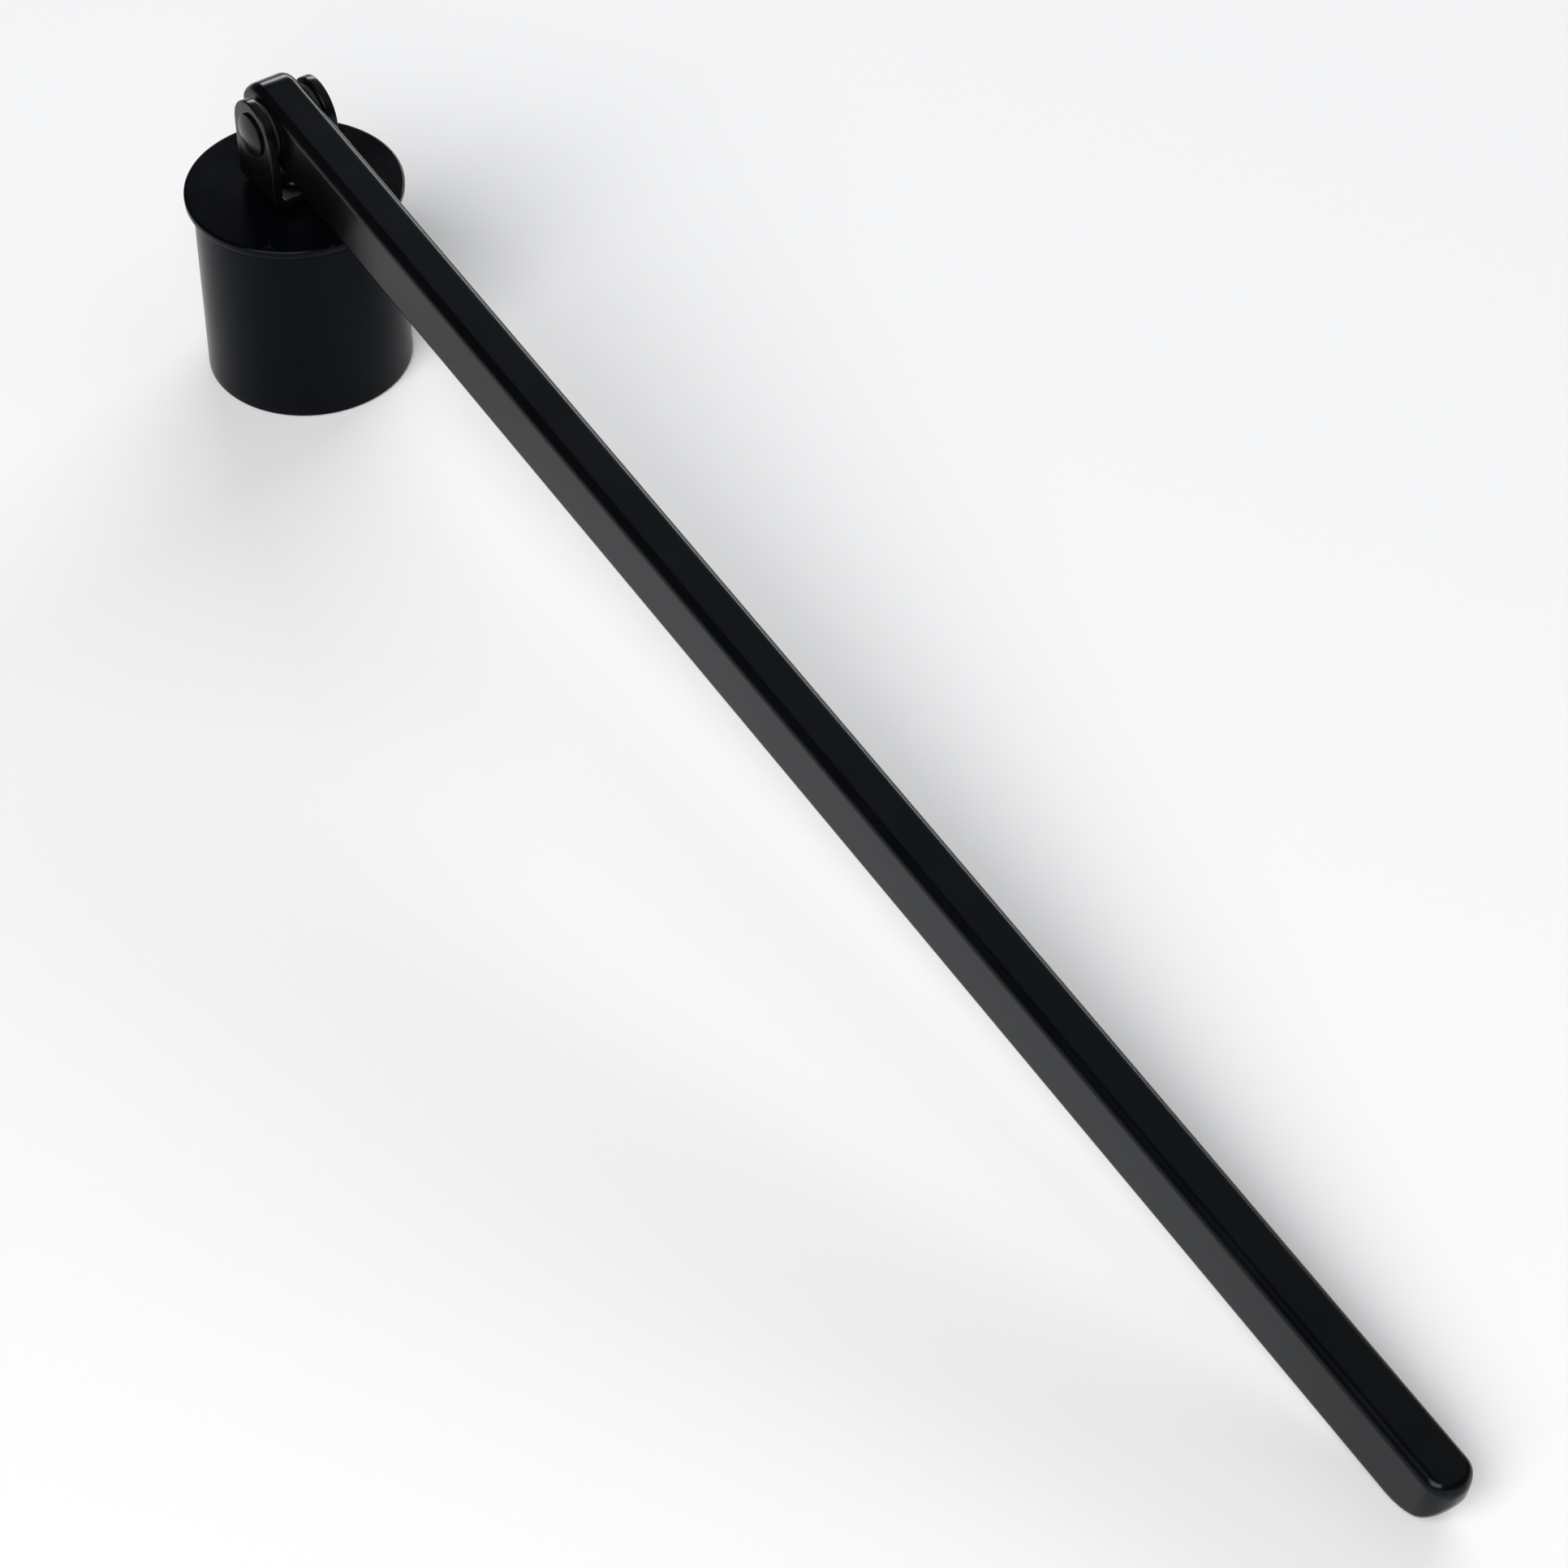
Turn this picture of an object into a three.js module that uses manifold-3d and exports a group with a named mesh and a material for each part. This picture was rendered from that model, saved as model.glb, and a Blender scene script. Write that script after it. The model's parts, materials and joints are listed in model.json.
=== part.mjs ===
// Candle snuffer: an open-bottomed bell cup hinged to a long flat handle.
// Millimetres, +Z up. The cup stands on its rim at z = 0 and the far end of
// the handle droops until it rests on the same surface.
import * as THREE from 'three';
import { mergeVertices } from 'three/addons/utils/BufferGeometryUtils.js';
import Module from 'manifold-3d';

// ---------- driving dimensions ----------
const CUP_TOP_R = 11.1;       // outside radius of the cup under the disc
const CUP_MOUTH_R = 11.42;    // outside radius at the open mouth
const CUP_WALL = 0.9;
const CUP_HEIGHT = 22.25;
const LIP_R = 0.25;           // rounding of the lip's two edges

const DISC_R = 12.0;
const DISC_T = 1.0;
const DISC_EDGE_R = 0.3;
const SPIGOT_T = 1.4;         // step under the disc that centres it in the cup
const SPIGOT_GAP = 0.12;

const PIVOT_H = 8.2;          // pivot axis above the top of the disc
const PIVOT_BACK = 0.3;       // pivot axis behind the cup's axis
const EAR_R = 3.8;
const EAR_OUT = 4.25;         // outer faces of the ears, each side
const PLATE_T = 1.1;          // bracket sheet
const BEND_R = 1.5;           // outside radius of the bracket's bends

const BAR_H = 8.0;            // handle: height, thickness, overall length
const BAR_W = 5.0;
const BAR_LEN = 202.7;
const BAR_BACK = 5.4;         // pivot axis to the near end of the handle
const BAR_EDGE_R = 1.1;
const BAR_PLAN_R = 0.9;       // hinge end, seen from above
const TIP_TOP_R = 1.6;        // free end: upper corner, lower corner, and seen from above
const TIP_LOW_R = 5.9;
const TIP_PLAN_R = 2.4;

const PIN_R = 1.5;
const BORE_R = 1.58;
const HEAD_R = 2.4;
const HEAD_H = 0.65;
const THREAD_R = 0.95;
const WASHER_R = 3.2;
const WASHER_T = 0.55;

const RIVET_R = 1.2;
const RIVET_HEAD_R = 2.0;
const FIT = 0.05;             // air between pieces that touch

// ---------- derived ----------
const DISC_TOP = CUP_HEIGHT + FIT + DISC_T;
const PIVOT_Z = DISC_TOP + FIT + PIVOT_H;
const END_R = BAR_H / 2;
const REACH = BAR_LEN - BAR_BACK;                   // pivot to the free end, along the handle
const LOW_X = REACH - TIP_LOW_R;                    // centre of the lower round that the free end rests on
const LOW_Z = TIP_LOW_R - END_R;
const DROOP = Math.asin((PIVOT_Z - TIP_LOW_R) / Math.hypot(LOW_X, LOW_Z)) + Math.atan2(LOW_Z, LOW_X); // lean below level
const TIP_X = (REACH - TIP_TOP_R) * Math.cos(DROOP) + (END_R - TIP_TOP_R) * Math.sin(DROOP) + TIP_TOP_R;
const CUP_X0 = -(DISC_R - PIVOT_BACK);              // rear of the disc, from the pivot
const SHIFT_X = -(CUP_X0 + TIP_X) / 2;              // puts the origin under the middle of the object

const wasm = await Module();
wasm.setup();

function toSolid(geometry) {
  const g = geometry.clone();
  g.deleteAttribute('normal');
  g.deleteAttribute('uv');
  const m = mergeVertices(g, 1e-4);
  return new wasm.Manifold(new wasm.Mesh({
    numProp: 3,
    vertProperties: new Float32Array(m.attributes.position.array),
    triVerts: new Uint32Array(m.index.array),
  }));
}

function toGeometry(solid) {
  const mesh = solid.getMesh();
  const g = new THREE.BufferGeometry();
  g.setAttribute('position', new THREE.BufferAttribute(new Float32Array(mesh.vertProperties), 3));
  g.setIndex(new THREE.BufferAttribute(new Uint32Array(mesh.triVerts), 1));
  g.computeVertexNormals();
  return g;
}

// A profile of [radius, height] pairs turned about Z.
function turned(pairs, segments = 72) {
  const g = new THREE.LatheGeometry(pairs.map(([r, z]) => new THREE.Vector2(r, z)), segments);
  g.rotateX(Math.PI / 2);
  return g;
}

// A shape drawn in X and Z, extruded along Y between y0 and y1.
function extrudedAlongY(shape, y0, y1, curveSegments = 24) {
  const g = new THREE.ExtrudeGeometry(shape, { depth: y1 - y0, bevelEnabled: false, curveSegments });
  g.rotateX(Math.PI / 2);
  g.translate(0, y1, 0);
  return g;
}

// A rod about the Y axis at (x, z), with chamfered mouths when flare > 0.
function rodAlongY(r, y0, y1, x, z, flare = 0, over = 0.4, segments = 64) {
  const p = [[0, y0 - over]];
  if (flare > 0) p.push([r + flare + over, y0 - over], [r, y0 + flare], [r, y1 - flare], [r + flare + over, y1 + over]);
  else p.push([r, y0 - over], [r, y1 + over]);
  p.push([0, y1 + over]);
  const g = turned(p, segments);
  g.rotateX(-Math.PI / 2);
  g.translate(x, 0, z);
  return g;
}

function arc(cx, cz, r, a0, a1, n) {
  const out = [];
  for (let i = 0; i <= n; i++) {
    const a = (a0 + (a1 - a0) * i / n) * Math.PI / 180;
    out.push([cx + r * Math.cos(a), cz + r * Math.sin(a)]);
  }
  return out;
}

const paint = (name, color, roughness, metalness) =>
  new THREE.MeshStandardMaterial({ name, color, roughness, metalness });

const group = new THREE.Group();
function add(parent, name, geometry, material) {
  const mesh = new THREE.Mesh(geometry, material);
  mesh.name = name;
  parent.add(mesh);
  return mesh;
}

// ---------- head: everything that stays with the cup ----------
const head = new THREE.Group();
head.position.set(SHIFT_X, 0, 0);
group.add(head);
const CUP_AXIS_X = PIVOT_BACK; // cup axis, measured from the pivot

// Cup: a short tube with a slight flare and an eased lip.
{
  const ri0 = CUP_MOUTH_R - CUP_WALL, ri1 = CUP_TOP_R - CUP_WALL;
  const profile = [
    ...arc(ri0 + LIP_R, LIP_R, LIP_R, 180, 270, 4),
    ...arc(CUP_MOUTH_R - LIP_R, LIP_R, LIP_R, 270, 360, 4),
    [CUP_TOP_R, CUP_HEIGHT],
    [ri1, CUP_HEIGHT],
  ];
  profile.push(profile[0]);
  const g = turned(profile, 96);
  g.translate(CUP_AXIS_X, 0, 0);
  add(head, 'cup_shell', g, paint('cup_paint', 0x15171b, 0.42, 0.4));
}

// Top disc: overhangs the cup, with a spigot inside the tube and a hole for the rivet.
{
  const z0 = CUP_HEIGHT + FIT, z1 = z0 + DISC_T;
  const rs = CUP_TOP_R - CUP_WALL - SPIGOT_GAP, rh = RIVET_R + 0.1;
  const profile = [
    [rh, z0 - SPIGOT_T], [rs - 0.25, z0 - SPIGOT_T], [rs, z0 - SPIGOT_T + 0.25], [rs, z0],
    ...arc(DISC_R - DISC_EDGE_R, z0 + DISC_EDGE_R, DISC_EDGE_R, 270, 360, 5),
    ...arc(DISC_R - DISC_EDGE_R, z1 - DISC_EDGE_R, DISC_EDGE_R, 0, 90, 5),
    [rh, z1],
  ];
  profile.push(profile[0]);
  const g = turned(profile, 96);
  g.translate(CUP_AXIS_X, 0, 0);
  add(head, 'top_disc', g, paint('disc_paint', 0x131417, 0.38, 0.4));
}

// Bracket: sheet bent into a U, its ears rounded over the pivot.
{
  const z0 = DISC_TOP + FIT, zTop = PIVOT_Z + EAR_R;
  const section = new THREE.Shape();
  const yo = EAR_OUT, yi = EAR_OUT - PLATE_T, ro = BEND_R, ri = BEND_R - PLATE_T + 0.2;
  section.moveTo(-yo, zTop + 1);
  section.lineTo(-yo, z0 + ro);
  section.absarc(-yo + ro, z0 + ro, ro, Math.PI, 1.5 * Math.PI, false);
  section.lineTo(yo - ro, z0);
  section.absarc(yo - ro, z0 + ro, ro, 1.5 * Math.PI, 2 * Math.PI, false);
  section.lineTo(yo, zTop + 1);
  section.lineTo(yi, zTop + 1);
  section.lineTo(yi, z0 + PLATE_T + ri);
  section.absarc(yi - ri, z0 + PLATE_T + ri, ri, 0, -0.5 * Math.PI, true);
  section.lineTo(-yi + ri, z0 + PLATE_T);
  section.absarc(-yi + ri, z0 + PLATE_T + ri, ri, -0.5 * Math.PI, -Math.PI, true);
  section.closePath();
  const u = new THREE.ExtrudeGeometry(section, { depth: 2 * EAR_R + 4, bevelEnabled: false, curveSegments: 8 });
  // section's x is Y, its y is Z, its depth is X
  u.applyMatrix4(new THREE.Matrix4().makeBasis(
    new THREE.Vector3(0, 1, 0), new THREE.Vector3(0, 0, 1), new THREE.Vector3(1, 0, 0)));
  u.translate(-EAR_R - 2, 0, 0);

  const side = new THREE.Shape();
  side.moveTo(-EAR_R, z0 - 1);
  side.lineTo(EAR_R, z0 - 1);
  side.lineTo(EAR_R, PIVOT_Z);
  side.absarc(0, PIVOT_Z, EAR_R, 0, Math.PI, false);
  side.closePath();
  const cheeks = extrudedAlongY(side, -EAR_OUT - 1, EAR_OUT + 1, 28);

  let solid = toSolid(u).intersect(toSolid(cheeks));
  solid = solid.subtract(toSolid(rodAlongY(BORE_R, -EAR_OUT, -yi, 0, PIVOT_Z)));
  solid = solid.subtract(toSolid(rodAlongY(BORE_R, yi, EAR_OUT, 0, PIVOT_Z)));
  const hole = turned([[0, z0 - 1], [RIVET_R + 0.1, z0 - 1], [RIVET_R + 0.1, z0 + PLATE_T + 1], [0, z0 + PLATE_T + 1]], 48);
  hole.translate(CUP_AXIS_X, 0, 0);
  solid = solid.subtract(toSolid(hole));
  add(head, 'hinge_bracket', toGeometry(solid), paint('bracket_paint', 0x17181c, 0.4, 0.4));
}

// Rivet through the bracket and the disc, with the washer it is closed over.
{
  const zb = DISC_TOP + FIT + PLATE_T + FIT;
  const zu = CUP_HEIGHT + FIT - SPIGOT_T - FIT;
  const wt = 0.6;
  const zl = zu - wt - FIT;
  const profile = [
    [0, zl - 0.7], [1.1, zl - 0.7], ...arc(1.1, zl - 0.35, 0.35, 270, 360, 3).map(([r, z]) => [r + 0.25, z]),
    [1.7, zl], [RIVET_R, zl], [RIVET_R, zb], [RIVET_HEAD_R, zb],
    ...arc(RIVET_HEAD_R - 0.45, zb + 0.35, 0.45, 10, 90, 4),
    [0, zb + 0.85],
  ];
  const g = turned(profile, 48);
  g.translate(CUP_AXIS_X, 0, 0);
  add(head, 'bracket_rivet', g, paint('rivet_steel', 0x2a2b2e, 0.4, 0.8));

  const w = [[RIVET_R + 0.1, zu - wt], [3.0, zu - wt], [3.0, zu], [RIVET_R + 0.1, zu]];
  w.push(w[0]);
  const gw = turned(w, 48);
  gw.translate(CUP_AXIS_X, 0, 0);
  add(head, 'rivet_washer', gw, paint('washer_steel', 0x8b8d90, 0.35, 1.0));
}

// Pivot: a domed barrel from the near side and a domed screw from the far side.
{
  const face = EAR_OUT + FIT;
  const domeR = (HEAD_R * HEAD_R + (HEAD_H - 0.3) ** 2) / (2 * (HEAD_H - 0.3));
  const half = Math.asin(HEAD_R / domeR) * 180 / Math.PI;
  const dome = (n) => arc(0, 0, domeR, 90 - half, 90, n).map(([r, z]) => [r, z - domeR + HEAD_H]);

  // profiles run along their own +Z, then are laid along Y
  const barrelEnd = EAR_OUT - 0.35;
  const shank = barrelEnd + face;              // from under the head to the end of the barrel
  const bp = [
    [0, -shank + 6.0], [THREAD_R + 0.12, -shank + 5.6], [THREAD_R + 0.12, -shank + 0.15], [THREAD_R + 0.27, -shank],
    [PIN_R - 0.15, -shank], [PIN_R, -shank + 0.15], [PIN_R, 0], [HEAD_R, 0],
    ...dome(8),
  ];
  bp[bp.length - 1] = [0, HEAD_H];
  const barrel = turned(bp, 64);
  barrel.rotateX(Math.PI / 2);                 // +Z to -Y
  barrel.translate(0, -face, PIVOT_Z);
  add(head, 'pivot_barrel', barrel, paint('barrel_paint', 0x26282b, 0.33, 0.5));

  // the screw's shank carries a shallow thread form
  const sp = [[0, -5.2], [THREAD_R - 0.25, -5.2]];
  for (let z = -5.0; z < -1.3; z += 0.5) sp.push([THREAD_R - 0.16, z], [THREAD_R, z + 0.25]);
  sp.push([THREAD_R - 0.16, -0.9], [THREAD_R - 0.16, 0], [HEAD_R, 0], ...dome(8));
  sp[sp.length - 1] = [0, HEAD_H];
  let screw = toSolid(turned(sp, 48));
  const slot = new THREE.BoxGeometry(2 * HEAD_R + 1, 0.6, 1.0);
  slot.translate(0, 0, HEAD_H + 0.05);
  screw = screw.subtract(toSolid(slot));
  const gs = toGeometry(screw);
  gs.rotateX(-Math.PI / 2);                    // +Z to +Y
  gs.translate(0, face, PIVOT_Z);
  add(head, 'pivot_screw', gs, paint('screw_paint', 0x26282b, 0.33, 0.5));
}

// ---------- handle: turns about the pivot ----------
const arm = new THREE.Group();
arm.position.set(SHIFT_X, 0, PIVOT_Z);
arm.rotation.set(0, DROOP, 0);
group.add(arm);
// A flat bar with eased edges. The hinge end is a full round; the free end keeps its top face almost to
// the tip and is cut away in a large round below. Sections are rounded rectangles, swept along X.
function roundEndedBar(xA, xB, halfH, halfW, edgeR, endA, endB, corner = 6, endSteps = 18) {
  const reach = (end) => Math.max(end.top, end.low, end.plan);
  const spread = (end) => {
    const out = [];
    for (let i = 0; i <= endSteps; i++) {
      const a = (6 + 84 * i / endSteps) * Math.PI / 180;
      out.push(reach(end) * (1 - Math.cos(a)));
    }
    return out;
  };
  const stations = [...spread(endA).map((d) => [xA + d, d, endA]), ...spread(endB).reverse().map((d) => [xB - d, d, endB])];
  const eased = (full, r, d) => (d >= r ? full : full - r + Math.sqrt(r ** 2 - (r - d) ** 2));
  const ring = ([x, d, end]) => {
    const zt = eased(halfH, end.top, d), zb = eased(halfH, end.low, d);
    const mid = (zt - zb) / 2, h = (zt + zb) / 2, w = eased(halfW, end.plan, d);
    const r = Math.min(edgeR, 0.85 * h, 0.85 * w);
    const out = [];
    for (const [sy, sz, a0] of [[1, -1, -90], [1, 1, 0], [-1, 1, 90], [-1, -1, 180]]) {
      for (let k = 0; k <= corner; k++) {
        const a = (a0 + 90 * k / corner) * Math.PI / 180;
        out.push([x, sy * (w - r) + r * Math.cos(a), mid + sz * (h - r) + r * Math.sin(a)]);
      }
    }
    return out;
  };
  const rings = stations.map(ring);
  const n = rings[0].length;
  const pos = rings.flat(2);
  const idx = [];
  for (let i = 0; i + 1 < rings.length; i++) {
    for (let k = 0; k < n; k++) {
      const a = i * n + k, b = i * n + (k + 1) % n, c = a + n, d = b + n;
      idx.push(a, b, d, a, d, c);
    }
  }
  const cap = (base, flip) => {
    const centre = pos.length / 3;
    pos.push(pos[3 * base], 0, (Math.max(...rings[base / n].map((p) => p[2])) + Math.min(...rings[base / n].map((p) => p[2]))) / 2);
    for (let k = 0; k < n; k++) {
      const a = base + k, b = base + (k + 1) % n;
      flip ? idx.push(centre, a, b) : idx.push(centre, b, a);
    }
  };
  cap(0, false);
  cap((rings.length - 1) * n, true);
  const g = new THREE.BufferGeometry();
  g.setAttribute('position', new THREE.BufferAttribute(new Float32Array(pos), 3));
  g.setIndex(idx);
  return g;
}
{
  const g = roundEndedBar(-BAR_BACK, BAR_LEN - BAR_BACK, END_R, BAR_W / 2, BAR_EDGE_R,
    { top: END_R, low: END_R, plan: BAR_PLAN_R }, { top: TIP_TOP_R, low: TIP_LOW_R, plan: TIP_PLAN_R });
  const bar = toSolid(g).subtract(toSolid(rodAlongY(BORE_R, -BAR_W / 2, BAR_W / 2, 0, 0, 0.15)));
  add(arm, 'handle_bar', toGeometry(bar), paint('bar_paint', 0x191a1d, 0.4, 0.4));
}

// Spacer washers, one each side of the handle, held by the barrel.
for (const [name, s] of [['spacer_washer_near', -1], ['spacer_washer_far', 1]]) {
  const gapMid = (BAR_W / 2 + EAR_OUT - PLATE_T) / 2;
  const w = [[BORE_R, -WASHER_T / 2], [WASHER_R, -WASHER_T / 2], [WASHER_R, WASHER_T / 2], [BORE_R, WASHER_T / 2]];
  w.push(w[0]);
  const g = turned(w, 48);
  g.rotateX(Math.PI / 2);
  g.translate(0, s * gapMid, PIVOT_Z);
  add(head, name, g, paint('washer_black', 0x0d0d0e, 0.6, 0.0));
}

export default group;
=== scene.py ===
"""Candle snuffer: the fine surfaces, finishes, floor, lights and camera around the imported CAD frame."""
import json
import math

import bmesh
import bpy
from mathutils import Matrix, Vector


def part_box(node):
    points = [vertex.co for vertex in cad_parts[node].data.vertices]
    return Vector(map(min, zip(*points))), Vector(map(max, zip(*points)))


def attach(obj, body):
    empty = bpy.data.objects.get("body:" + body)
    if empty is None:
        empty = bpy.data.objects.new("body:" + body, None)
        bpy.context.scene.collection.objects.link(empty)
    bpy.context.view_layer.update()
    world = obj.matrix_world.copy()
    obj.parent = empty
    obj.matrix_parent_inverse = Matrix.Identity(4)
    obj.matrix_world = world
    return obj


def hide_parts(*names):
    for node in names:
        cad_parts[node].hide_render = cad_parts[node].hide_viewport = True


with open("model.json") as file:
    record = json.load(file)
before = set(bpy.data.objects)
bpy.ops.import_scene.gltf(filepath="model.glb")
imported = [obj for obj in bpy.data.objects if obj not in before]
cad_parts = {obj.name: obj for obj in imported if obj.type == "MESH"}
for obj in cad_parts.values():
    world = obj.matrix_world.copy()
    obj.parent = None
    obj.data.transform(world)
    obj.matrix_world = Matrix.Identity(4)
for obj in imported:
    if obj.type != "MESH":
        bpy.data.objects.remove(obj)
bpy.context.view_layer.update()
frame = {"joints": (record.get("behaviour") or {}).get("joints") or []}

MM = 0.001
PIVOT = Vector(frame["joints"][0]["pos_m"])

# ---------------------------------------------------------------- camera
cam_data = bpy.data.cameras.new("camera")
cam = bpy.data.objects.new("camera", cam_data)
bpy.context.scene.collection.objects.link(cam)
FOCAL_PX, FRAME_PX = 5357.8456, 1932.0
cam_data.sensor_fit = "HORIZONTAL"
cam_data.sensor_width = 36.0
cam_data.lens = FOCAL_PX / FRAME_PX * 36.0
cam_data.clip_start, cam_data.clip_end = 0.01, 20.0
right = Vector((0.567925410, 0.823071445, -0.003758374)).normalized()
forward = Vector((-0.583280018, 0.399237426, -0.707385255)).normalized()
up = right.cross(forward).normalized()
right = forward.cross(up).normalized()
cam.matrix_world = Matrix((
    (right.x, up.x, -forward.x, 0.25189632),
    (right.y, up.y, -forward.y, -0.17108289),
    (right.z, up.z, -forward.z, 0.31115047),
    (0, 0, 0, 1),
))
bpy.context.scene.camera = cam


# ---------------------------------------------------------------- mesh tools
def new_object(name, mesh):
    o = bpy.data.objects.new(name, mesh)
    bpy.context.scene.collection.objects.link(o)
    return o


def finish_normals(o, sharp_deg=38.0, weighted=True):
    """Smooth faces, sharp edges by angle, and normals that follow the large faces."""
    bm = bmesh.new()
    bm.from_mesh(o.data)
    bmesh.ops.recalc_face_normals(bm, faces=bm.faces)
    for f in bm.faces:
        f.smooth = True
    limit = math.radians(sharp_deg)
    for e in bm.edges:
        e.smooth = not (len(e.link_faces) == 2 and e.calc_face_angle(0.0) > limit)
    bm.to_mesh(o.data)
    bm.free()
    if weighted:
        m = o.modifiers.new("weighted", "WEIGHTED_NORMAL")
        m.mode = "FACE_AREA"
        m.weight = 60
        m.keep_sharp = True
        apply_modifiers(o)


def apply_modifiers(o):
    bpy.context.view_layer.update()
    dg = bpy.context.evaluated_depsgraph_get()
    made = bpy.data.meshes.new_from_object(o.evaluated_get(dg))
    o.modifiers.clear()
    o.data = made


def arc(cx, cz, r, a0, a1, n):
    return [(cx + r * math.cos(math.radians(a0 + (a1 - a0) * i / n)),
             cz + r * math.sin(math.radians(a0 + (a1 - a0) * i / n))) for i in range(n + 1)]


def lathe(name, profile, segments=192, matrix=None, closed=True):
    """A profile of (radius, height) in mm, turned about Z. Points on the axis become one vertex."""
    bm = bmesh.new()
    rings = []
    for r, z in profile:
        if r < 1e-6:
            rings.append([bm.verts.new((0, 0, z * MM))])
        else:
            rings.append([bm.verts.new((r * MM * math.cos(2 * math.pi * k / segments),
                                        r * MM * math.sin(2 * math.pi * k / segments), z * MM))
                          for k in range(segments)])
    pairs = list(zip(rings, rings[1:]))
    if closed and len(rings[0]) > 1 and len(rings[-1]) > 1:
        pairs.append((rings[-1], rings[0]))
    for a, b in pairs:
        for k in range(segments):
            j = (k + 1) % segments
            if len(a) == 1 and len(b) == 1:
                continue
            if len(a) == 1:
                bm.faces.new((a[0], b[j], b[k]))
            elif len(b) == 1:
                bm.faces.new((a[k], a[j], b[0]))
            else:
                bm.faces.new((a[k], a[j], b[j], b[k]))
    mesh = bpy.data.meshes.new(name)
    bm.to_mesh(mesh)
    bm.free()
    if matrix is not None:
        mesh.transform(matrix)
    return new_object(name, mesh)


def boolean_cut(o, cutter):
    m = o.modifiers.new("cut", "BOOLEAN")
    m.operation = "DIFFERENCE"
    m.solver = "EXACT"
    m.object = cutter
    apply_modifiers(o)
    bpy.data.objects.remove(cutter)


# ---------------------------------------------------------------- materials
def paint(name, base, rough, grain_mm=0.55, grain_um=2.0, tint=(1.0, 1.0, 1.0), spec=0.30, edge=0.35, streak=None, lean=0.0):
    """Baked-on satin black: orange peel, a finer powder grain, uneven gloss, faint rub marks and edges worn a little smoother."""
    m = bpy.data.materials.new(name)
    m.use_nodes = True
    nt = m.node_tree
    nt.nodes.clear()
    N, L = nt.nodes.new, nt.links.new
    out = N("ShaderNodeOutputMaterial")
    b = N("ShaderNodeBsdfPrincipled")
    L(b.outputs["BSDF"], out.inputs["Surface"])
    b.inputs["Metallic"].default_value = 0.0
    b.inputs["IOR"].default_value = 1.5
    b.inputs["Specular IOR Level"].default_value = spec
    b.inputs["Specular Tint"].default_value = (0.76, 0.89, 1.0, 1)
    tc = N("ShaderNodeTexCoord")

    def noise(scale, detail=2.0, roughness=0.5, vector=None):
        n = N("ShaderNodeTexNoise")
        n.inputs["Scale"].default_value = scale
        n.inputs["Detail"].default_value = detail
        n.inputs["Roughness"].default_value = roughness
        L(vector if vector is not None else tc.outputs["Object"], n.inputs["Vector"])
        return n.outputs["Fac"]

    def ramp(fac, p0, p1, c0, c1):
        r = N("ShaderNodeValToRGB")
        r.color_ramp.elements[0].position, r.color_ramp.elements[1].position = p0, p1
        r.color_ramp.elements[0].color = (*c0, 1)
        r.color_ramp.elements[1].color = (*c1, 1)
        L(fac, r.inputs["Fac"])
        return r.outputs["Color"]

    def math_node(op, a, c, clamp=False):
        n = N("ShaderNodeMath")
        n.operation = op
        n.use_clamp = clamp
        for i, v in enumerate((a, c)):
            if isinstance(v, (int, float)):
                n.inputs[i].default_value = v
            else:
                L(v, n.inputs[i])
        return n.outputs[0]

    def mapped(fac, f0, f1, t0, t1):
        n = N("ShaderNodeMapRange")
        n.inputs["From Min"].default_value, n.inputs["From Max"].default_value = f0, f1
        n.inputs["To Min"].default_value, n.inputs["To Max"].default_value = t0, t1
        L(fac, n.inputs["Value"])
        return n.outputs["Result"]

    peel = noise(1000.0 / grain_mm, 2.0, 0.45)
    powder = noise(1000.0 / 0.09, 2.0, 0.6)
    cloud = noise(1000.0 / 9.0, 3.0, 0.55)

    # rub marks: long thin noise, stretched along the piece
    stretch = N("ShaderNodeMapping")
    stretch.inputs["Scale"].default_value = streak or (60.0, 2600.0, 2600.0)
    turn = N("ShaderNodeMapping")
    turn.inputs["Rotation"].default_value = (0.0, -lean, 0.0)
    L(tc.outputs["Object"], turn.inputs["Vector"])
    L(turn.outputs["Vector"], stretch.inputs["Vector"])
    marks = mapped(noise(1.0, 3.0, 0.6, stretch.outputs["Vector"]), 0.60, 0.74, 0.0, 1.0)

    # wear on outside edges, from the shape itself and broken up by noise
    geo = N("ShaderNodeNewGeometry")
    convex = mapped(geo.outputs["Pointiness"], 0.515, 0.56, 0.0, 1.0)
    broken = mapped(noise(1000.0 / 0.8, 4.0, 0.65), 0.45, 0.68, 0.0, 1.0)
    wear = math_node("MULTIPLY", math_node("MULTIPLY", convex, broken, True), edge, True)

    dark = tuple(base * t * 0.86 for t in tint)
    light = tuple(base * t * 1.14 for t in tint)
    body = ramp(cloud, 0.32, 0.70, dark, light)
    mix = N("ShaderNodeMix")
    mix.data_type = "RGBA"
    L(wear, mix.inputs["Factor"])
    L(body, mix.inputs["A"])
    mix.inputs["B"].default_value = (0.020, 0.020, 0.022, 1)
    L(mix.outputs["Result"], b.inputs["Base Color"])

    r = mapped(cloud, 0.3, 0.7, rough - 0.030, rough + 0.035)
    r = math_node("ADD", r, mapped(powder, 0.3, 0.7, -0.02, 0.02))
    r = math_node("ADD", r, mapped(marks, 0.0, 1.0, 0.0, 0.045))
    r = math_node("SUBTRACT", r, mapped(wear, 0.0, 1.0, 0.0, 0.07), True)
    L(r, b.inputs["Roughness"])

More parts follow.
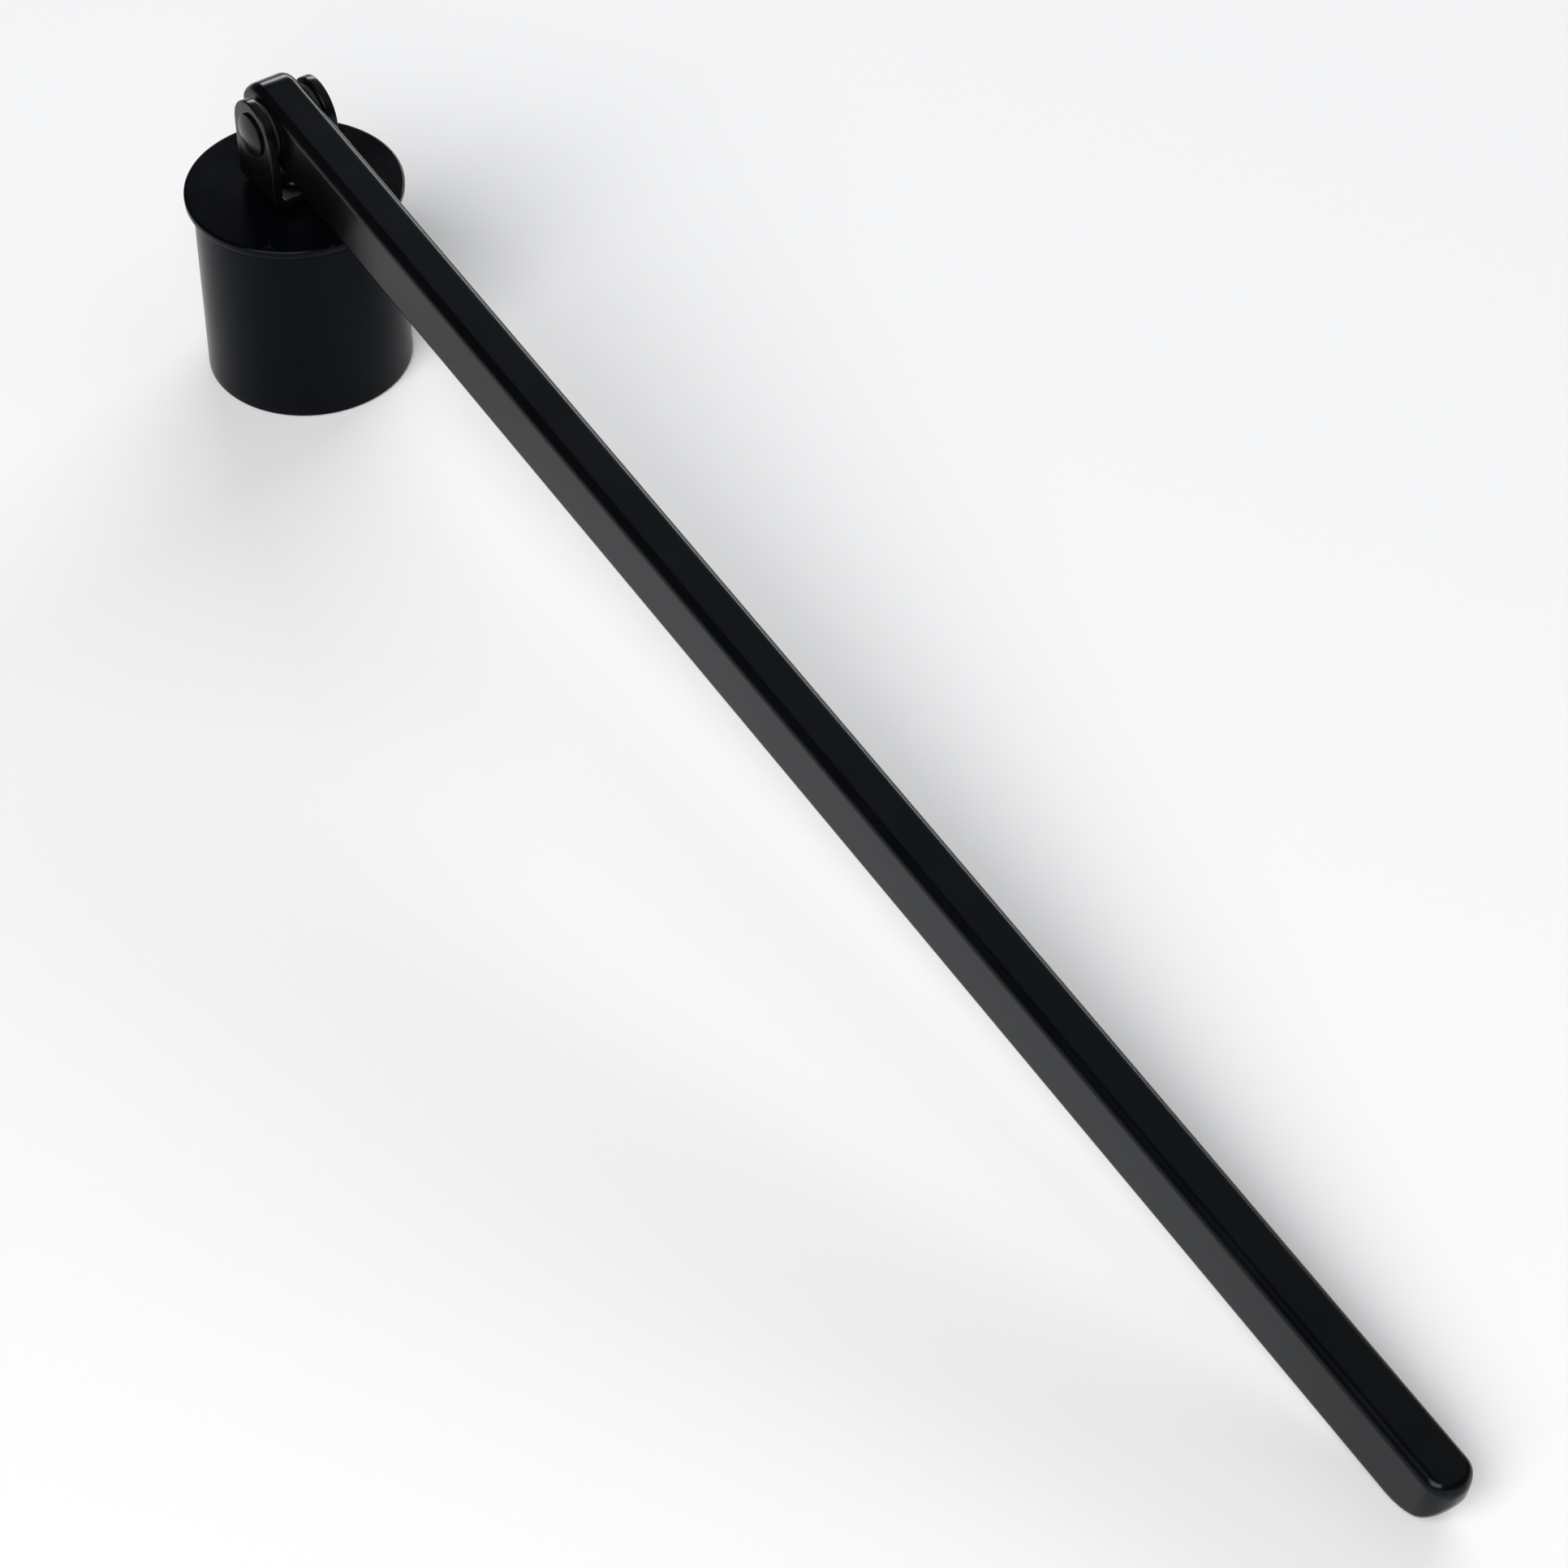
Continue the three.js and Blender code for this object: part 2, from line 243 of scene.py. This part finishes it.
    h1 = N("ShaderNodeBump")
    h1.inputs["Strength"].default_value = 1.0
    h1.inputs["Distance"].default_value = grain_um * 1e-6
    L(peel, h1.inputs["Height"])
    h2 = N("ShaderNodeBump")
    h2.inputs["Strength"].default_value = 1.0
    h2.inputs["Distance"].default_value = 0.3e-6
    L(powder, h2.inputs["Height"])
    L(h1.outputs["Normal"], h2.inputs["Normal"])
    L(h2.outputs["Normal"], b.inputs["Normal"])
    return m


def turned_metal(name, color, rough, centre, axis="Z"):
    """Zinc plate over a turned face: fine rings round the axis, and a mottled bloom."""
    m = bpy.data.materials.new(name)
    m.use_nodes = True
    nt = m.node_tree
    nt.nodes.clear()
    N, L = nt.nodes.new, nt.links.new
    out = N("ShaderNodeOutputMaterial")
    b = N("ShaderNodeBsdfPrincipled")
    L(b.outputs["BSDF"], out.inputs["Surface"])
    b.inputs["Metallic"].default_value = 1.0
    tc = N("ShaderNodeTexCoord")
    shift = N("ShaderNodeMapping")
    shift.inputs["Location"].default_value = (-centre.x, -centre.y, -centre.z)
    L(tc.outputs["Object"], shift.inputs["Vector"])
    wave = N("ShaderNodeTexWave")
    wave.wave_type = "RINGS"
    wave.rings_direction = axis
    wave.inputs["Scale"].default_value = 2200.0
    wave.inputs["Distortion"].default_value = 0.4
    L(shift.outputs["Vector"], wave.inputs["Vector"])
    cloud = N("ShaderNodeTexNoise")
    cloud.inputs["Scale"].default_value = 900.0
    cloud.inputs["Detail"].default_value = 4.0
    L(tc.outputs["Object"], cloud.inputs["Vector"])
    ramp = N("ShaderNodeValToRGB")
    ramp.color_ramp.elements[0].position, ramp.color_ramp.elements[1].position = 0.35, 0.7
    ramp.color_ramp.elements[0].color = (*[c * 0.82 for c in color], 1)
    ramp.color_ramp.elements[1].color = (*[min(1, c * 1.1) for c in color], 1)
    L(cloud.outputs["Fac"], ramp.inputs["Fac"])
    L(ramp.outputs["Color"], b.inputs["Base Color"])
    rr = N("ShaderNodeMapRange")
    rr.inputs["To Min"].default_value, rr.inputs["To Max"].default_value = rough - 0.05, rough + 0.1
    L(cloud.outputs["Fac"], rr.inputs["Value"])
    L(rr.outputs["Result"], b.inputs["Roughness"])
    bump = N("ShaderNodeBump")
    bump.inputs["Strength"].default_value = 1.0
    bump.inputs["Distance"].default_value = 1.5e-6
    L(wave.outputs["Fac"], bump.inputs["Height"])
    L(bump.outputs["Normal"], b.inputs["Normal"])
    return m


def nylon(name):
    """Black moulded nylon: dull, with a fine spark-eroded grain."""
    m = bpy.data.materials.new(name)
    m.use_nodes = True
    nt = m.node_tree
    nt.nodes.clear()
    N, L = nt.nodes.new, nt.links.new
    out = N("ShaderNodeOutputMaterial")
    b = N("ShaderNodeBsdfPrincipled")
    L(b.outputs["BSDF"], out.inputs["Surface"])
    b.inputs["IOR"].default_value = 1.53
    tc = N("ShaderNodeTexCoord")
    grain = N("ShaderNodeTexNoise")
    grain.inputs["Scale"].default_value = 9000.0
    grain.inputs["Detail"].default_value = 3.0
    L(tc.outputs["Object"], grain.inputs["Vector"])
    ramp = N("ShaderNodeValToRGB")
    ramp.color_ramp.elements[0].color = (0.009, 0.009, 0.010, 1)
    ramp.color_ramp.elements[1].color = (0.018, 0.018, 0.019, 1)
    L(grain.outputs["Fac"], ramp.inputs["Fac"])
    L(ramp.outputs["Color"], b.inputs["Base Color"])
    rr = N("ShaderNodeMapRange")
    rr.inputs["To Min"].default_value, rr.inputs["To Max"].default_value = 0.50, 0.66
    L(grain.outputs["Fac"], rr.inputs["Value"])
    L(rr.outputs["Result"], b.inputs["Roughness"])
    bump = N("ShaderNodeBump")
    bump.inputs["Strength"].default_value = 1.0
    bump.inputs["Distance"].default_value = 3e-6
    L(grain.outputs["Fac"], bump.inputs["Height"])
    L(bump.outputs["Normal"], b.inputs["Normal"])
    return m


# bluer tint for the cup and disc paints, part of their painted shade
COOL = (0.80, 0.98, 1.55)
lo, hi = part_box("handle_bar")
TIP_TOP, TIP_LOW, TIP_PLAN, REACH = 1.6, 5.9, 2.4, 197.3
LEAN = (math.asin((PIVOT.z / MM - TIP_LOW) / math.hypot(REACH - TIP_LOW, TIP_LOW - 4.0))
        + math.atan2(TIP_LOW - 4.0, REACH - TIP_LOW))
MATERIALS = {
    "bar": paint("bar_paint", 0.0020, 0.22, tint=(0.95, 1.0, 1.15), spec=0.155, lean=LEAN),
    # cup and disc: the bar's black paint made darker, bluer and less glossy, as painted shade for the cup front and the
    # disc top
    "cup": paint("cup_paint", 0.0020, 0.24, tint=COOL, spec=0.075, streak=(2600.0, 2600.0, 60.0)),
    "disc": paint("disc_paint", 0.0014, 0.16, tint=COOL, spec=0.10, streak=(900.0, 900.0, 900.0)),
    "bracket": paint("bracket_paint", 0.0020, 0.23, tint=(0.95, 1.0, 1.15), spec=0.20),
    "pin": paint("pin_paint", 0.0040, 0.25, tint=(0.96, 1.04, 1.02), spec=0.20, streak=(900.0, 900.0, 900.0)),
    "rivet": paint("rivet_paint", 0.0050, 0.28, streak=(900.0, 900.0, 900.0)),
    "nylon": nylon("washer_black"),
}


def place(o, body, material, slot, *nodes):
    o.data.materials.clear()
    o.data.materials.append(material)
    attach(o, body)
    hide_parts(*nodes)
    return o


# ---------------------------------------------------------------- cup
lo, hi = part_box("cup_shell")
CUP_X = (lo.x + hi.x) / 2 / MM
MOUTH_R, CUP_H = (hi.x - lo.x) / 2 / MM, hi.z / MM
TOP_R, WALL, LIP = MOUTH_R - 0.32, 0.9, 0.25
SEG = 256


def slanted(ra, rb, z0, z1, n):
    return [(ra + (rb - ra) * i / n, z0 + (z1 - z0) * i / n) for i in range(1, n + 1)]


def cup_radius(z):
    return MOUTH_R + (TOP_R - MOUTH_R) * z / CUP_H


outer = arc(MOUTH_R - LIP, LIP, LIP, 270, 360, 8)
profile = arc(MOUTH_R - WALL + LIP, LIP, LIP, 180, 270, 8) + outer
profile += slanted(MOUTH_R, TOP_R + 0.02, LIP, CUP_H - 0.15, 24)
profile += arc(TOP_R - 0.12, CUP_H - 0.12, 0.12, 0, 90, 4)
profile += arc(TOP_R - WALL + 0.12, CUP_H - 0.12, 0.12, 90, 180, 4)
profile += slanted(TOP_R - WALL, MOUTH_R - WALL, CUP_H - 0.15, LIP + 0.1, 24)
cup = lathe("cup_surface", profile, SEG, Matrix.Translation((CUP_X * MM, 0, 0)))
finish_normals(cup)
place(cup, "cup_head", MATERIALS["cup"], "cup_paint", "cup_shell")

# ---------------------------------------------------------------- disc
lo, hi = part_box("top_disc")
R, ztop = (hi.x - lo.x) / 2 / MM, hi.z / MM
zlow = lo.z / MM
SPIGOT = TOP_R - WALL - 0.12
z0 = ztop - 1.0
profile = [(1.3, zlow), (SPIGOT - 0.25, zlow), (SPIGOT, zlow + 0.25), (SPIGOT, z0)]
profile += [(SPIGOT + 0.4, z0), (R - 0.36, z0)]
profile += arc(R - 0.3, z0 + 0.3, 0.3, 270, 360, 8) + arc(R - 0.3, ztop - 0.3, 0.3, 0, 90, 8)
profile += [(R - 0.42, ztop), (R - 1.5, ztop), (6.0, ztop), (1.5, ztop), (1.38, ztop - 0.02), (1.3, ztop - 0.1)]
disc = lathe("disc_surface", profile, SEG, Matrix.Translation((CUP_X * MM, 0, 0)))
finish_normals(disc)
place(disc, "cup_head", MATERIALS["disc"], "disc_paint", "top_disc")

# ---------------------------------------------------------------- bracket
lo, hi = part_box("hinge_bracket")
EAR_R, EAR_OUT = (hi.x - lo.x) / 2 / MM, hi.y / MM
Z_BASE, PIVOT_Z = lo.z / MM, PIVOT.z / MM
PLATE, BEND, EASE = 1.1, 1.5, 0.16
FLAT_U = EAR_OUT - BEND
BEND_U = BEND * math.pi / 2
EAR_U = FLAT_U + BEND_U + (PIVOT_Z - Z_BASE - BEND)


def poly_spline(curve, points):
    s = curve.splines.new("POLY")
    s.points.add(len(points) - 1)
    for p, (x, y) in zip(s.points, points):
        p.co = (x * MM, y * MM, 0, 1)
    s.use_cyclic_u = True


def bracket_blank():
    """The flat blank: a strip with round ends and three holes, its edges eased all round."""
    c = bpy.data.curves.new("blank", "CURVE")
    c.dimensions, c.fill_mode = "2D", "BOTH"
    c.extrude = (PLATE / 2 - EASE) * MM
    c.bevel_depth = EASE * MM
    c.bevel_resolution = 3
    c.offset = -EASE * MM
    n = 72
    end = [(EAR_U + EAR_R * math.sin(math.pi * k / n), -EAR_R * math.cos(math.pi * k / n)) for k in range(n + 1)]
    other = [(-x, -y) for x, y in end]
    poly_spline(c, end + other)
    for u, r in ((EAR_U, 1.58), (-EAR_U, 1.58)):
        poly_spline(c, [(u + r * math.cos(-2 * math.pi * k / 64), r * math.sin(-2 * math.pi * k / 64)) for k in range(64)])
    off = CUP_X - PIVOT.x / MM
    poly_spline(c, [(1.3 * math.cos(-2 * math.pi * k / 48), off + 1.3 * math.sin(-2 * math.pi * k / 48)) for k in range(48)])
    o = bpy.data.objects.new("blank", c)
    bpy.context.scene.collection.objects.link(o)
    bpy.context.view_layer.update()
    mesh = bpy.data.meshes.new_from_object(o.evaluated_get(bpy.context.evaluated_depsgraph_get()))
    bpy.data.objects.remove(o)
    return mesh


def bent_bracket():
    mesh = bracket_blank()
    bm = bmesh.new()
    bm.from_mesh(mesh)
    bmesh.ops.remove_doubles(bm, verts=bm.verts, dist=2e-6)
    cuts = [FLAT_U + BEND_U * k / 10 for k in range(11)]
    for u in sorted([-c for c in cuts] + cuts):
        bmesh.ops.bisect_plane(bm, geom=list(bm.verts) + list(bm.edges) + list(bm.faces), dist=1e-7,
                               plane_co=(u * MM, 0, 0), plane_no=(1, 0, 0))
    for v in bm.verts:
        u, x, w = v.co.x / MM, v.co.y / MM, v.co.z / MM + PLATE / 2   # w: 0 outside, PLATE inside
        s, a = (1 if u >= 0 else -1), abs(u)
        if a <= FLAT_U:
            y, z = a, Z_BASE + w
        elif a <= FLAT_U + BEND_U:
            t = (a - FLAT_U) / BEND
            y, z = FLAT_U + (BEND - w) * math.sin(t), Z_BASE + BEND - (BEND - w) * math.cos(t)
        else:
            y, z = EAR_OUT - w, Z_BASE + BEND + (a - FLAT_U - BEND_U)
        v.co = Vector((PIVOT.x / MM + x, s * y, z)) * MM
    bmesh.ops.recalc_face_normals(bm, faces=bm.faces)
    made = bpy.data.meshes.new("bracket_surface")
    bm.to_mesh(made)
    bm.free()
    return new_object("bracket_surface", made)


bracket = bent_bracket()
finish_normals(bracket, 50.0)
place(bracket, "cup_head", MATERIALS["bracket"], "bracket_paint", "hinge_bracket")

# ---------------------------------------------------------------- rivet and its washer
lo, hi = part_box("bracket_rivet")
zb = Z_BASE + PLATE + 0.05
zl = lo.z / MM + 0.7
profile = [(0, lo.z / MM), (0.9, lo.z / MM), (1.2, lo.z / MM + 0.02)]
profile += arc(1.35, zl - 0.40, 0.30, 300, 360, 6) + [(1.65, zl - 0.1), (1.6, zl), (1.2, zl), (1.2, zb - 0.1), (1.2, zb), (1.9, zb)]
profile += arc(1.90, zb + 0.1, 0.1, 270, 360, 4)[1:]
top = hi.z / MM
profile += [(2.0 * math.cos(t), zb + 0.12 + (top - zb - 0.12) * math.sin(t)) for t in [math.pi / 2 * k / 14 for k in range(1, 14)]]
profile += [(0, top)]
rivet = lathe("rivet_surface", profile, 128, Matrix.Translation((CUP_X * MM, 0, 0)))
finish_normals(rivet)
place(rivet, "cup_head", MATERIALS["rivet"], "rivet_paint", "bracket_rivet")

lo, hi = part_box("rivet_washer")
a, b_, ro = lo.z / MM, hi.z / MM, (hi.x - lo.x) / 2 / MM
profile = [(1.3, a + 0.06), (1.36, a), (ro - 0.5, a)] + arc(ro - 0.12, a + 0.12, 0.12, 270, 360, 4)
profile += arc(ro - 0.12, b_ - 0.12, 0.12, 0, 90, 4) + [(ro - 0.5, b_), (1.36, b_), (1.3, b_ - 0.06)]
washer = lathe("rivet_washer_surface", profile, 128, Matrix.Translation((CUP_X * MM, 0, 0)))
finish_normals(washer)
place(washer, "cup_head", turned_metal("washer_steel", (0.46, 0.46, 0.47), 0.32, Vector((CUP_X * MM, 0, 0))),
      "washer_steel", "rivet_washer")

# ---------------------------------------------------------------- pivot barrel and screw
lo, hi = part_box("pivot_barrel")
HEAD_R = (hi.x - lo.x) / 2 / MM
FACE = EAR_OUT + 0.05
HEAD_H = -lo.y / MM - FACE
SHANK = hi.y / MM + FACE


def dome_head(r, h, flat=0.28, n=14):
    """From the underside's rim up and over to the axis, with a small round at the rim."""
    pts = arc(r - 0.08, 0.08, 0.08, 270, 360, 4)
    rise = h - flat
    big = (r * r + rise * rise) / (2 * rise)
    half = math.degrees(math.asin(r / big))
    pts += [(x, z - big + h) for x, z in arc(0, 0, big, 90 - half, 90, n)]
    pts[-1] = (0, h)
    return pts


profile = [(0, -SHANK + 6.0), (1.07, -SHANK + 5.6), (1.07, -SHANK + 0.15), (1.22, -SHANK), (1.35, -SHANK),
           (1.5, -SHANK + 0.15), (1.5, -0.2), (1.5, 0), (1.6, 0)] + dome_head(HEAD_R, HEAD_H)
to_near = Matrix.Translation((PIVOT.x, -FACE * MM, PIVOT.z)) @ Matrix.Rotation(math.pi / 2, 4, "X")
barrel = lathe("pivot_barrel_surface", profile, 128, to_near)
finish_normals(barrel)
place(barrel, "cup_head", MATERIALS["pin"], "pin_paint", "pivot_barrel")

lo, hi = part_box("pivot_screw")
tip = FACE - lo.y / MM
profile = [(0, -tip), (0.55, -tip), (0.7, -tip + 0.15)]
z = -tip + 0.25
while z < -1.3:
    profile += [(0.79, z), (0.93, z + 0.20), (0.95, z + 0.25), (0.93, z + 0.30)]
    z += 0.5
profile += [(0.79, -0.9), (0.79, 0), (1.0, 0)] + dome_head(HEAD_R, hi.y / MM - FACE)
screw = lathe("pivot_screw_surface", profile, 128)
bm = bmesh.new()
bmesh.ops.create_cube(bm, size=1.0)
slot_mesh = bpy.data.meshes.new("slot")
bm.to_mesh(slot_mesh)
bm.free()
slot_mesh.transform(Matrix.Translation((0, 0, (HEAD_H + 0.05) * MM)) @ Matrix.Diagonal((7 * MM, 0.6 * MM, 1.0 * MM, 1)))
boolean_cut(screw, new_object("slot", slot_mesh))
bev = screw.modifiers.new("ease", "BEVEL")
bev.width, bev.segments, bev.limit_method, bev.angle_limit = 0.035 * MM, 2, "ANGLE", math.radians(45)
apply_modifiers(screw)
screw.data.transform(Matrix.Translation((PIVOT.x, FACE * MM, PIVOT.z)) @ Matrix.Rotation(-math.pi / 2, 4, "X"))
finish_normals(screw)
place(screw, "cup_head", MATERIALS["pin"], "pin_paint", "pivot_screw")

# ---------------------------------------------------------------- spacer washers
for node in ("spacer_washer_near", "spacer_washer_far"):
    lo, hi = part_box(node)
    t, ro, ym = (hi.y - lo.y) / MM, (hi.x - lo.x) / 2 / MM, (lo.y + hi.y) / 2
    e = 0.1
    profile = arc(1.58 + e, -t / 2 + e, e, 180, 270, 4) + arc(ro - e, -t / 2 + e, e, 270, 360, 4)
    profile += arc(ro - e, t / 2 - e, e, 0, 90, 4) + arc(1.58 + e, t / 2 - e, e, 90, 180, 4)
    w = lathe(node + "_surface", profile, 128, Matrix.Translation((PIVOT.x, ym, PIVOT.z)) @ Matrix.Rotation(math.pi / 2, 4, "X"))
    finish_normals(w)
    place(w, "cup_head", MATERIALS["nylon"], "washer_black", node)

# ---------------------------------------------------------------- handle bar
lo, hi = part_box("handle_bar")
HALF_H, HALF_W = 4.0, hi.y / MM
X_END, X_START = REACH, -5.4
EDGE_R = 1.1
ENDS = ((HALF_H, HALF_H, 0.9), (TIP_TOP, TIP_LOW, TIP_PLAN))   # upper corner, lower corner, seen from above


def eased(full, r, d):
    return full if d >= r else full - r + math.sqrt(r * r - (r - d) ** 2)


def bar_mesh(corner=12, steps=56):
    near = [max(ENDS[0]) * (1 - math.cos(math.radians(3.6 + 86.4 * i / steps))) for i in range(steps + 1)]
    far = [max(ENDS[1]) * (1 - math.cos(math.radians(4.0 + 86.0 * i / steps))) for i in range(steps + 1)]
    stations = [X_START + d for d in near]
    mid0, mid1 = stations[-1], X_END - far[-1]
    stations += [mid0 + (mid1 - mid0) * k / 60 for k in range(1, 60)]
    stations += [X_END - d for d in reversed(far)]
    bm = bmesh.new()
    rings = []
    for x in stations:
        d = min(x - X_START, X_END - x)
        top_r, low_r, plan_r = ENDS[0] if x - X_START < X_END - x else ENDS[1]
        zt, zb, w = eased(HALF_H, top_r, d), eased(HALF_H, low_r, d), eased(HALF_W, plan_r, d)
        mid, h = (zt - zb) / 2, (zt + zb) / 2
        r = min(EDGE_R, 0.85 * h, 0.85 * w)
        ring = []
        for sy, sz, a0 in ((1, -1, -90), (1, 1, 0), (-1, 1, 90), (-1, -1, 180)):
            for k in range(corner + 1):
                t = math.radians(a0 + 90 * k / corner)
                ring.append(bm.verts.new(Vector((x, sy * (w - r) + r * math.cos(t), mid + sz * (h - r) + r * math.sin(t))) * MM))
        rings.append(ring)
    n = len(rings[0])
    for p, q in zip(rings, rings[1:]):
        for k in range(n):
            bm.faces.new((p[k], p[(k + 1) % n], q[(k + 1) % n], q[k]))
    bm.faces.new(list(reversed(rings[0])))
    bm.faces.new(rings[-1])
    bmesh.ops.recalc_face_normals(bm, faces=bm.faces)
    mesh = bpy.data.meshes.new("handle_surface")
    bm.to_mesh(mesh)
    bm.free()
    return mesh


bar = new_object("handle_surface", bar_mesh())
flare = [(0, -2.9), (1.58 + 0.55, -2.9), (1.58, -2.35), (1.58, 2.35), (1.58 + 0.55, 2.9), (0, 2.9)]
bore = lathe("bore", flare, 96, Matrix.Rotation(math.pi / 2, 4, "X"))
boolean_cut(bar, bore)
finish_normals(bar)
bar.data.transform(Matrix.Translation(PIVOT) @ Matrix.Rotation(LEAN, 4, "Y"))
place(bar, "handle", MATERIALS["bar"], "bar_paint", "handle_bar")

# ---------------------------------------------------------------- floor
bm = bmesh.new()
bmesh.ops.create_circle(bm, cap_ends=True, radius=1.6, segments=96)
floor_mesh = bpy.data.meshes.new("floor")
bm.to_mesh(floor_mesh)
bm.free()
floor = new_object("floor", floor_mesh)
floor.location = (0, 0, -0.0001)
fm = bpy.data.materials.new("floor_pale")
fm.use_nodes = True
fb = fm.node_tree.nodes["Principled BSDF"]
fb.inputs["Base Color"].default_value = (0.96, 0.96, 0.965, 1)
fb.inputs["Roughness"].default_value = 0.85
fb.inputs["Specular IOR Level"].default_value = 0.1
floor_mesh.materials.append(fm)

# ---------------------------------------------------------------- lights
scene = bpy.context.scene
scene.view_settings.view_transform = "Standard"
scene.view_settings.look = "None"
world = bpy.data.worlds.new("studio")
scene.world = world
world.use_nodes = True
bg = world.node_tree.nodes["Background"]
bg.inputs["Color"].default_value = (0.90, 0.95, 1.0, 1)
bg.inputs["Strength"].default_value = 0.07


def softbox(name, direction, distance, width, height, power, color=(1, 1, 1)):
    d = Vector(direction).normalized()
    data = bpy.data.lights.new(name, "AREA")
    data.shape = "RECTANGLE"
    data.size, data.size_y = width, height
    data.energy = power
    data.color = color
    o = bpy.data.objects.new(name, data)
    scene.collection.objects.link(o)
    o.location = Vector((0.0, 0.0, 0.02)) + d * distance
    o.rotation_mode = "QUATERNION"
    o.rotation_quaternion = (-d).to_track_quat("-Z", "Y")
    return o


softbox("window_back", (-0.62, 0.62, 0.30), 1.60, 1.60, 0.36, 17.0, (0.98, 0.99, 1.0))
softbox("ceiling", (0.05, 0.45, 0.89), 1.20, 2.00, 0.90, 1.95, (0.97, 0.985, 1.0))
softbox("main_front", (0.42, -0.60, 0.68), 1.50, 1.30, 1.00, 26.0, (1.0, 0.998, 0.995))

# ---------------------------------------------------------------- view layer update
bpy.context.view_layer.update()
